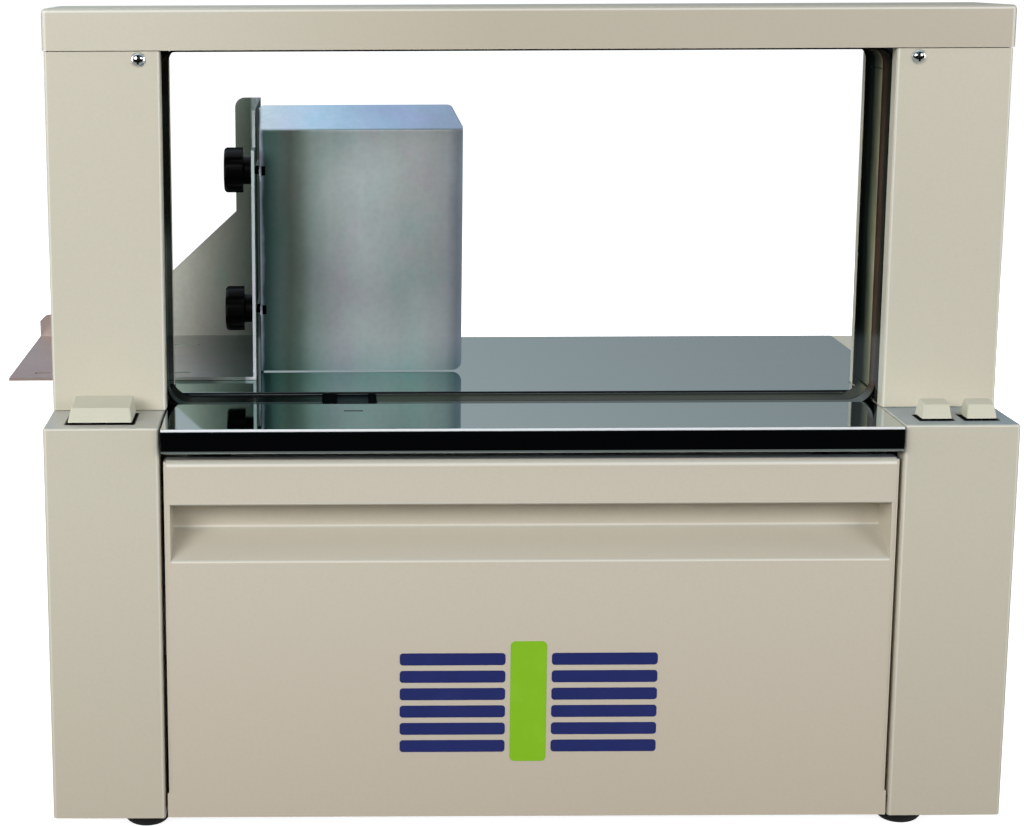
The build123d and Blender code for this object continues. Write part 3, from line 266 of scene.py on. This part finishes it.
def mirror(name, colour, roughness, painted_bend_colour, bend_metal, slot=None):
    """Polished sheet: faint polishing lines, a painted highlight or shade of its own on the front bend,
    painted shade in the slot.
    """
    n = Paint(name)
    lines = n.noise(260.0, 4.0, 0.7, stretch=(0.02, 1.0, 1.0))
    cloud = n.noise(6.0, 5.0, 0.6)
    tinted = n.mix(1.0, colour, n.ramp(lines, 0.2, 0.8, 0.95, 1.02), "MULTIPLY")
    # painted light on the front bend: the given colour, less metallic
    bend = n.math("MULTIPLY", n.ramp(n.facing(2), 0.10, 0.35), n.ramp(n.facing(2), 0.90, 0.985, 1.0, 0.0))
    bend = n.math("MULTIPLY", bend, n.ramp(n.facing(1), -0.25, -0.1, 1.0, 0.0))
    base = n.mix(bend, tinted, painted_bend_colour)
    metallic = n.ramp(bend, 0.0, 1.0, 1.0, bend_metal)
    # painted shade: the slot area goes near black
    if slot:
        (left, right), (near, far) = slot
        inside = 1.0
        for index, low, high in ((0, left, right), (1, near, far)):
            inside = n.math("MULTIPLY", inside, n.math("GREATER_THAN", n.axis(index), low))
            inside = n.math("MULTIPLY", inside, n.math("LESS_THAN", n.axis(index), high))
        base = n.mix(inside, base, SLOT_SHADE)
    rough = n.ramp(cloud, 0.3, 0.75, roughness * 0.75, roughness * 1.3)
    polished = n.bump(lines, 0.25, 0.000004)
    return n.principled(Base_Color=base, Metallic=metallic, Roughness=rough, Normal=polished)


def plastic(name, colour, roughness, grain=1200.0, depth=0.00004, worn=None, ior=1.5, shade_below=None):
    """Moulded plastic or rubber with a fine spark-eroded grain and paler rubbed spots."""
    n = Paint(name)
    rub = n.ramp(n.noise(60.0, 4.0, 0.6), 0.5, 0.8, 0.0, 0.6)
    base = n.mix(rub, colour, worn or colour)
    # painted shade: near black below the given height, in the gap under the keys
    if shade_below:
        base = n.mix(n.ramp(n.axis(2), shade_below - 0.0004, shade_below), srgb(6, 6, 6), base)
    grainy = n.bump(n.noise(grain, 3.0, 0.6), 0.4, depth)
    gloss = n.ramp(n.noise(25.0, 4.0), 0.3, 0.7, roughness * 0.85, roughness * 1.2)
    return n.principled(Base_Color=base, Roughness=gloss, Normal=grainy, IOR=ior)


def bands_along(n, axis, span, bands, wander=0.015):
    """Colours in a row along an axis. span is in metres, each band is (share of span, colour)."""
    waver = n.ramp(n.noise(20.0, 4.0, 0.6), 0.2, 0.8, -wander, wander)
    place = n.math("ADD", n.ramp(n.axis(axis), span[0], span[1]), waver)
    return n.colour_ramp(place, bands)


def zinc(name, span, front_bands, top_bands, flank_shading, edge, foot=None, metal=0.72, far_end=None):
    """Passivated zinc: painted reflections and shade in bands along X, other painted tones on level faces
    and flanks, a coloured film.
    """
    n = Paint(name)
    # painted reflections and shade: the bands along X
    front = bands_along(n, 0, span, front_bands)
    top = bands_along(n, 0, span, top_bands)
    sideways = n.ramp(n.math("ABSOLUTE", n.facing(0)), 0.6, 0.8)
    base = n.mix(n.ramp(n.facing(2), 0.25, 0.5), n.mix(sideways, front, flank_shading), top)
    film = n.noise(26.0, 4.0, 0.6, stretch=(1.0, 1.0, 0.6))
    cool = n.mix(n.ramp(film, 0.28, 0.45), FILM_COOL, WHITE)
    warm = n.mix(n.ramp(film, 0.52, 0.70), cool, FILM_WARM)
    filmed = n.mix(1.0, base, warm, "MULTIPLY")
    spangle = n.add("ShaderNodeTexVoronoi")
    n.put(spangle.inputs["Vector"], n.coord)
    spangle.inputs["Scale"].default_value = 260.0
    grain = n.ramp(spangle.outputs["Distance"], 0.0, 0.8, 0.96, 1.02)
    wipe = n.noise(34.0, 5.0, 0.7, stretch=(1.0, 1.0, 0.3))
    streaked = n.mix(1.0, filmed, n.ramp(wipe, 0.25, 0.75, 0.90, 1.06), "MULTIPLY")
    mottled = n.mix(1.0, streaked, grain, "MULTIPLY")
    if foot:
        low, high, tint = foot
        mottled = n.tinted(mottled, n.ramp(n.axis(2), low, high), tint)
    if far_end:
        low, high, tint = far_end
        mottled = n.tinted(mottled, n.ramp(n.axis(0), low, high), tint)
    # painted shade: the zinc turns darker where it is seen in reflections
    mirrored = n.add("ShaderNodeLightPath").outputs["Is Glossy Ray"]
    mottled = n.mix(mirrored, mottled, n.mix(1.0, mottled, REFLECTED_SHADE_TINT, "MULTIPLY"))
    # painted highlight: the edge is less metallic, so its pale band shows bright
    edge_left, edge_right, share_left, share_right = edge
    metallic = n.ramp(n.axis(0), edge_left, edge_right, share_left * metal, share_right * metal)
    rough = n.ramp(n.noise(9.0, 3.0, 0.5), 0.1, 0.9, 0.24, 0.44)
    fine = n.bump(n.noise(900.0, 3.0, 0.6), 0.25, 0.00002)
    return n.principled(Base_Color=mottled, Metallic=metallic, Roughness=rough, Normal=fine)


def track_black(name, span, bands, level_left, level_right, ior=1.06, roughness=0.2):
    """Black sheet of the tape track: a painted brown sheen on the flank that faces the light, none on the
    other.
    """
    n = Paint(name)
    # painted sheen: brown bands along Y, in blotches
    sheen = bands_along(n, 1, span, bands, 0.04)
    sheen_blotches = n.ramp(n.noise(38.0, 5.0, 0.65, stretch=(1.0, 1.0, 0.35)), 0.35, 0.7, 0.55, 1.35)
    blotched_sheen = n.mix(1.0, sheen, sheen_blotches, "MULTIPLY")
    lit_side = n.ramp(n.facing(0), -0.85, -0.35, 1.0, 0.0)
    flank_shading = n.mix(lit_side, srgb(7, 7, 7), blotched_sheen)
    # level faces: darker left of the head, a painted highlight right of it
    level = n.mix(n.ramp(n.axis(0), *HEAD_EDGE), level_left, level_right)
    base = n.mix(n.ramp(n.facing(2), 0.4, 0.85), flank_shading, level)
    fine = n.noise(700.0, 3.0, 0.6)
    gloss = n.ramp(n.noise(25.0, 4.0), 0.3, 0.7, roughness * 0.85, roughness * 1.25)
    return n.principled(Base_Color=base, Roughness=gloss, Normal=n.bump(fine, 0.3, 0.00001), IOR=ior)


# ---------------------------------------------------------------- materials
CREAM = srgb(216, 212, 194)
CREAM_DARK = srgb(213, 208, 190)
# painted highlight on the bends
BEND_LIGHT = srgb(246, 247, 240)
# painted light: shade low down, sky reflection on slopes, shade along the beam, sky reflection on ledges
LOW_SHADE_TINT = (0.90, 0.86, 0.84, 1.0)
SLOPE_SKY_TINT = (0.86, 0.92, 0.97, 1.0)
BEAM_SHADE_TINT = (0.86, 0.82, 0.80, 1.0)
SKY_LEFT = (0.70, 0.74, 0.84, 1.0)
SKY_RIGHT = (0.36, 0.50, 0.70, 1.0)
FILM_COOL = (0.86, 1.0, 0.97, 1.0)
FILM_WARM = (1.06, 0.94, 1.02, 1.0)
# painted shade in the table slot
SLOT_SHADE = srgb(6, 7, 7)
HEAD_EDGE = (-0.0945, -0.0925)      # right side of the sealing head, where the painted highlight on the track floor starts
# painted shade for zinc seen in reflections
REFLECTED_SHADE_TINT = (0.60, 0.74, 0.70, 1.0)
GAUGE_FAR_END = (-0.303, -0.284, (0.66, 0.54, 0.54, 1.0))
STOP_SPAN = (-0.1656, -0.0306)
# painted reflections and shade across the stop plate; a painted highlight on its left bend
STOP_FRONT = (
    (0.00, srgb(236, 246, 252)),
    (0.012, srgb(206, 214, 238)),
    (0.022, srgb(96, 136, 132)),
    (0.10, srgb(116, 142, 134)),
    (0.15, srgb(116, 132, 122)),
    (0.20, srgb(140, 158, 148)),
    (0.26, srgb(184, 206, 200)),
    (0.35, srgb(216, 232, 230)),
    (0.50, srgb(234, 248, 248)),
    (0.80, srgb(228, 236, 236)),
    (0.92, srgb(208, 216, 220)),
    (0.975, srgb(160, 170, 182)),
    (1.00, srgb(172, 186, 204)),
)
# painted sky reflection on the stop's top flange
STOP_TOP = (
    (0.00, srgb(232, 248, 255)),
    (0.25, srgb(206, 232, 255)),
    (0.60, srgb(176, 204, 234)),
    (1.00, srgb(166, 184, 210)),
)
# painted shade on the stop's flanks; a painted highlight at its left edge
STOP_FLANK_SHADE = srgb(96, 104, 106)
STOP_EDGE_HIGHLIGHT = (-0.1645, -0.1637, 0.3, 1.0)
STOP_FOOT = (0.244, 0.268, (0.62, 0.74, 0.74, 1.0))
GAUGE_SPAN = (-0.245, -0.170)
# painted reflections and shade across the gauge; a painted highlight at its right edge
GAUGE_FRONT = (
    (0.00, srgb(246, 246, 238)),
    (0.30, srgb(230, 234, 224)),
    (0.55, srgb(200, 206, 196)),
    (0.80, srgb(164, 174, 164)),
    (0.93, srgb(132, 148, 138)),
    (0.95, srgb(214, 226, 228)),
    (1.00, srgb(240, 250, 252)),
)
# painted reflections and shade on the gauge's level faces
GAUGE_TOP = (
    (0.00, srgb(214, 192, 190)),
    (0.50, srgb(160, 148, 150)),
    (0.80, srgb(112, 112, 110)),
    (1.00, srgb(76, 88, 88)),
)
# painted shade on the gauge's flanks; a painted highlight at its right edge
GAUGE_FLANK_SHADE = srgb(86, 102, 98)
GAUGE_EDGE_HIGHLIGHT = (-0.1712, -0.1704, 1.0, 0.2)
TRACK_SPAN = (-0.103, -0.041)
# painted sheen along the tape track, for the front liner here and the rear liner below
FRONT_TRACK_SHEEN = (
    (0.00, srgb(30, 34, 28)),
    (0.22, srgb(52, 52, 44)),
    (0.32, srgb(84, 68, 56)),
    (0.45, srgb(62, 50, 42)),
)
REAR_TRACK_SHEEN = (
    (0.35, srgb(84, 72, 60)),
    (0.46, srgb(150, 146, 118)),
    (0.62, srgb(98, 104, 84)),
    (0.80, srgb(24, 32, 28)),
    (1.00, srgb(6, 9, 8)),
)
STEEL = srgb(168, 180, 182)
TABLE_SLOT = ((-0.1108, -0.0992), (-0.1160, -0.1118))
# painted shade on the keys below this height
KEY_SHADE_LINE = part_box("left_side_cover")[1].z + 0.9 * MM
materials = {
    "cream_paint": paint("cream_paint", CREAM, CREAM_DARK),
    "door_paint": paint("door_paint", srgb(220, 213, 196), srgb(216, 208, 190)),
    # painted highlight on the front bend, painted shade in the slot
    "mirror_steel": mirror("mirror_steel", STEEL, 0.045, srgb(250, 253, 255), 0.2, TABLE_SLOT),
    "zinc_sheet": zinc(
        "zinc_gauge", GAUGE_SPAN, GAUGE_FRONT, GAUGE_TOP, GAUGE_FLANK_SHADE, GAUGE_EDGE_HIGHLIGHT, far_end=GAUGE_FAR_END
    ),
    # painted sheen on the flanks, a painted highlight on the floor right of the head
    "gloss_black": track_black(
        "gloss_black", TRACK_SPAN, FRONT_TRACK_SHEEN, srgb(54, 66, 68), srgb(84, 92, 90), 1.10, 0.14
    ),
    "satin_black": track_black("satin_black", TRACK_SPAN, REAR_TRACK_SHEEN, srgb(8, 8, 8), srgb(62, 66, 56)),
    "black_rubber": plastic("black_rubber", srgb(18, 18, 18), 0.65, 900.0, 0.00008, srgb(38, 38, 37)),
    "knob_plastic": plastic("knob_plastic", srgb(4, 4, 4), 0.34, 1400.0, 0.00004, srgb(8, 8, 9), 1.22),
    "key_plastic": plastic(
        "key_plastic", srgb(209, 208, 190), 0.42, 1600.0, 0.00003, srgb(203, 200, 181), shade_below=KEY_SHADE_LINE
    ),
    "bezel_plastic": plastic("bezel_plastic", srgb(17, 17, 17), 0.5, 1300.0, 0.00004, srgb(28, 28, 28)),
    "switch_plastic": plastic("switch_plastic", srgb(24, 24, 25), 0.45, 1300.0, 0.00004, srgb(40, 40, 41)),
    "plated_steel": plated("plated_steel", srgb(238, 240, 238), 0.14),
    "ground_steel": steel(
        "ground_steel", srgb(178, 180, 180), 0.28, (1.0, 0.05, 1.0), 0.00001, srgb(150, 148, 140), 30.0
    ),
    "galvanised_sheet": steel(
        "galvanised_sheet", srgb(170, 175, 178), 0.42, (1.0, 1.0, 0.4), 0.00002, srgb(146, 152, 156), 16.0
    ),
    "motor_paint": paint("motor_paint", srgb(34, 34, 36), srgb(26, 26, 28), 0.45, 1200.0),
    "paper_tape": plastic("paper_tape", srgb(226, 222, 210), 0.85, 2400.0, 0.00006, srgb(214, 208, 192)),
    "reel_plastic": plastic("reel_plastic", srgb(48, 48, 50), 0.45, 1200.0, 0.00004, srgb(66, 66, 68)),
    "roller_rubber": plastic("roller_rubber", srgb(58, 44, 36), 0.75, 1100.0, 0.00008, srgb(72, 58, 48)),
    "aluminium": steel(
        "aluminium", srgb(206, 207, 208), 0.32, (0.05, 1.0, 1.0), 0.00001, srgb(190, 191, 193), 24.0
    ),
    "circuit_board": plastic("circuit_board", srgb(22, 84, 48), 0.35, 700.0, 0.00006, srgb(30, 96, 58)),
    "transformer_iron": plastic(
        "transformer_iron", srgb(62, 60, 56), 0.55, 500.0, 0.0001, srgb(84, 78, 68)
    ),
}

# painted shade: the rear table's front bend goes near black
rear_steel = mirror("rear_steel", STEEL, 0.045, srgb(14, 15, 15), 0.1)
# painted shade: the beam darkens towards its right
beam_paint = paint("beam_paint", CREAM, CREAM_DARK, shade=(-0.24, -0.02, BEAM_SHADE_TINT))
# painted shade: the anvil and the sealing head frame are drawn dark for the shade in the slot; the stop
# studs share the black
shaded_anvil = plastic("shaded_anvil_steel", srgb(32, 40, 45), 0.30, 700.0, 0.00002, srgb(26, 34, 39), 1.05)
black_oxide_and_shade = plastic("black_oxide_and_shade", srgb(5, 6, 7), 0.35, 900.0, 0.00002, srgb(8, 9, 10), 1.01)
stop_zinc = zinc("zinc_stop", STOP_SPAN, STOP_FRONT, STOP_TOP, STOP_FLANK_SHADE, STOP_EDGE_HIGHLIGHT, STOP_FOOT)

own_look = {
    "stop_plate": stop_zinc,
    "beam_cover": beam_paint,
    "rear_table_plate": rear_steel,
    "stop_studs": black_oxide_and_shade,
    "head_frame": black_oxide_and_shade,
    "anvil_slide": shaded_anvil,
}
for entry in frame["record"]["subparts"]:
    node = nodes[entry["node"]]
    node.data.materials.clear()
    node.data.materials.append(own_look.get(entry["node"], materials[entry["material_slot"]]))


# ---------------------------------------------------------------- edges of the CAD pieces
def soften(names, width_mm):
    """Break the sharp edges of CAD pieces with a small bevel, without touching their meshes."""
    for name in names:
        node = nodes[name]
        bevel = node.modifiers.new("edge_break", "BEVEL")
        bevel.width = width_mm * MM
        bevel.segments = 2
        bevel.limit_method = "ANGLE"
        bevel.angle_limit = math.radians(35.0)
        bevel.harden_normals = True
        bevel.use_clamp_overlap = True


soften(("left_side_cover", "right_side_cover", "front_door", "rear_cover", "beam_cover"), 0.35)
for post_side in ("left", "right"):
    soften((post_side + "_post_front_cover", post_side + "_post_rear_cover"), 0.35)
soften(("gauge_bracket", "stop_plate", "rear_table_plate", "front_table_plate"), 0.3)
soften(("start_key", "feed_key", "mode_key"), 0.25)


# ---------------------------------------------------------------- pictogram on the door
MARK_THICKNESS = 0.15
door_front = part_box("front_door")[0].y / MM


def door_mark(name, outlines, material):
    """Thin raised shapes on the front of the door, as one mesh. Outlines are (x, z) in mm."""
    mesh = bmesh.new()
    for outline in outlines:
        ring = [mesh.verts.new((x * MM, door_front * MM, z * MM)) for x, z in outline]
        face = mesh.faces.new(ring)
        face.normal_update()
        if face.normal.y > 0:
            face.normal_flip()
        grown = bmesh.ops.extrude_face_region(mesh, geom=[face])
        moved = [v for v in grown["geom"] if isinstance(v, bmesh.types.BMVert)]
        bmesh.ops.translate(mesh, verts=moved, vec=(0, -MARK_THICKNESS * MM, 0))
    bmesh.ops.recalc_face_normals(mesh, faces=mesh.faces)
    data = bpy.data.meshes.new(name)
    mesh.to_mesh(data)
    mesh.free()
    obj = bpy.data.objects.new(name, data)
    scene.collection.objects.link(obj)
    data.materials.append(material)
    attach(obj, "door")


def rounded_box(x0, x1, z0, z1, r, steps=6):
    """Outline of a rectangle with round corners."""
    points = []
    corners = ((x1 - r, z1 - r), (x0 + r, z1 - r), (x0 + r, z0 + r), (x1 - r, z0 + r))
    for start, (cx, cz) in zip((0, 90, 180, 270), corners):
        for i in range(steps + 1):
            a = math.radians(start + 90.0 * i / steps)
            points.append((cx + r * math.cos(a), cz + r * math.sin(a)))
    return points


ink = plastic("navy_ink", srgb(24, 36, 104), 0.42, 900.0, 0.00001, srgb(30, 44, 118))
green_ink = plastic("green_ink", srgb(140, 200, 30), 0.42, 900.0, 0.00001, srgb(150, 208, 44))
stack_inner = 14.0
stack_outer = 78.0
stack_bottom = 42.0
bar_pitch = 11.0
bar_height = 7.6
band_half = 11.0
band_bottom = 36.0
band_top = 112.0
sheets = []
for bar in range(6):
    z0 = stack_bottom + bar * bar_pitch
    for x0, x1 in ((-stack_outer, -stack_inner), (stack_inner, stack_outer)):
        sheets.append(rounded_box(x0, x1, z0, z0 + bar_height, 2.0))
door_mark("door_mark_stack", sheets, ink)
door_mark("door_mark_band", [rounded_box(-band_half, band_half, band_bottom, band_top, 3.0)], green_ink)

# ---------------------------------------------------------------- floor
floor_middle = 10.0     # metres behind the machine
bpy.ops.mesh.primitive_plane_add(size=60.0, location=(0, floor_middle, cad_low.z))
floor = bpy.context.object
floor.name = "floor"

# The camera sees pale paper. Reflections see a toned floor, dark near the camera and behind the machine.
n = Paint("floor_paper")
fibre = n.ramp(n.noise(40.0, 4.0), 0.3, 0.7, 0.985, 1.0)
tone = n.mix(1.0, srgb(247, 248, 248), fibre, "MULTIPLY")
paper = n.shader("ShaderNodeBsdfDiffuse", Color=tone)
glow = n.shader("ShaderNodeEmission", Color=WHITE, Strength=0.86)
lit = n.add("ShaderNodeAddShader")
n.put(lit.inputs[0], paper)
n.put(lit.inputs[1], glow)
near = n.ramp(n.axis(1), -1.05 - floor_middle, -0.6 - floor_middle)
around = n.mix(near, srgb(12, 12, 13), srgb(150, 152, 150))
behind = n.ramp(n.axis(1), 0.05 - floor_middle, 0.3 - floor_middle)
mirrored = n.shader("ShaderNodeEmission", Color=n.mix(behind, around, srgb(20, 19, 16)))
bounce = n.shader("ShaderNodeBsdfDiffuse", Color=srgb(96, 94, 90))
unseen = n.either("Is Glossy Ray", bounce, mirrored)
n.surface(n.either("Is Camera Ray", unseen, lit.outputs[0]))
floor.data.materials.append(n.material)

# ---------------------------------------------------------------- world
SKY = (
    (0.00, srgb(112, 124, 132)),
    (0.25, srgb(200, 212, 214)),
    (0.72, srgb(196, 220, 242)),
    (1.00, srgb(250, 253, 255)),
)
world = bpy.data.worlds.new("studio")
scene.world = world
world.use_nodes = True
sky = Nodes(world.node_tree, "ShaderNodeOutputWorld", "Generated")
slant = sky.ramp(sky.axis(0), -0.08, 0.22, 1.06, 0.72)
towards_camera = sky.ramp(sky.axis(1), -0.5, 0.0, 0.15, 1.0)
brightness = sky.math("MULTIPLY", slant, towards_camera)
sky_colour = sky.colour_ramp(sky.axis(2), SKY)
mirrored_sky = sky.shader("ShaderNodeBackground", Color=sky_colour, Strength=brightness)
even = sky.shader("ShaderNodeBackground", Color=srgb(205, 210, 214), Strength=0.36)
white = sky.shader("ShaderNodeBackground", Color=WHITE, Strength=1.0)
sky.surface(sky.either("Is Camera Ray", sky.either("Is Glossy Ray", even, mirrored_sky), white))


# ---------------------------------------------------------------- lights
def softbox(name, place, target, width, height, power, colour=(1, 1, 1)):
    """A rectangular area light that points at target."""
    light = bpy.data.lights.new(name, "AREA")
    light.shape = "RECTANGLE"
    light.size = width
    light.size_y = height
    light.energy = power
    light.color = colour
    obj = bpy.data.objects.new(name, light)
    scene.collection.objects.link(obj)
    obj.location = place
    obj.rotation_euler = (Vector(target) - Vector(place)).to_track_quat("-Z", "Y").to_euler()
    return obj


softbox("key_left", (-1.3, -2.1, 1.15), (-0.1, 0, 0.3), 1.3, 0.9, 38.0, (1.0, 0.99, 0.985))
softbox("fill_right", (1.5, -2.1, 1.05), (0.1, 0, 0.25), 1.2, 0.9, 20.0, (1.0, 0.98, 0.985))
softbox("side_left", (-2.2, -0.3, 0.7), (0, 0, 0.3), 0.5, 1.4, 9.0)
softbox("side_right", (2.2, -0.5, 0.7), (0, 0, 0.3), 0.5, 1.4, 9.0)
for rear_name, rear_x in (("rear_left", -1.5), ("rear_right", 1.5)):
    rear_light = softbox(rear_name, (rear_x, 2.1, 0.9), (0, 0, 0.2), 1.2, 0.9, 26.0)
    rear_light.visible_glossy = False   # it brightens the back without showing in the steel

# ---------------------------------------------------------------- camera
CAMERA_PLACE = (-0.12326, -1.47662, 0.51330)
CAMERA_PITCH = 0.196
CAMERA_ROLL = -0.0042
CAMERA_LENS = 79.5
CAMERA_SHIFT = 0.1838       # the lens axis runs left of the middle of the picture
camera_data = bpy.data.cameras.new("camera")
camera_data.sensor_width = 36.0
camera_data.lens = CAMERA_LENS
camera_data.shift_x = CAMERA_SHIFT
camera = bpy.data.objects.new("camera", camera_data)
scene.collection.objects.link(camera)
tilt = Matrix.Rotation(math.pi / 2 - CAMERA_PITCH, 4, "X")
roll = Matrix.Rotation(CAMERA_ROLL, 4, "Z")
camera.matrix_world = Matrix.Translation(CAMERA_PLACE) @ tilt @ roll
scene.camera = camera

scene.view_settings.view_transform = "Standard"
scene.view_settings.look = "None"
scene.view_settings.exposure = 0.0
scene.view_settings.gamma = 1.0

bpy.context.view_layer.update()
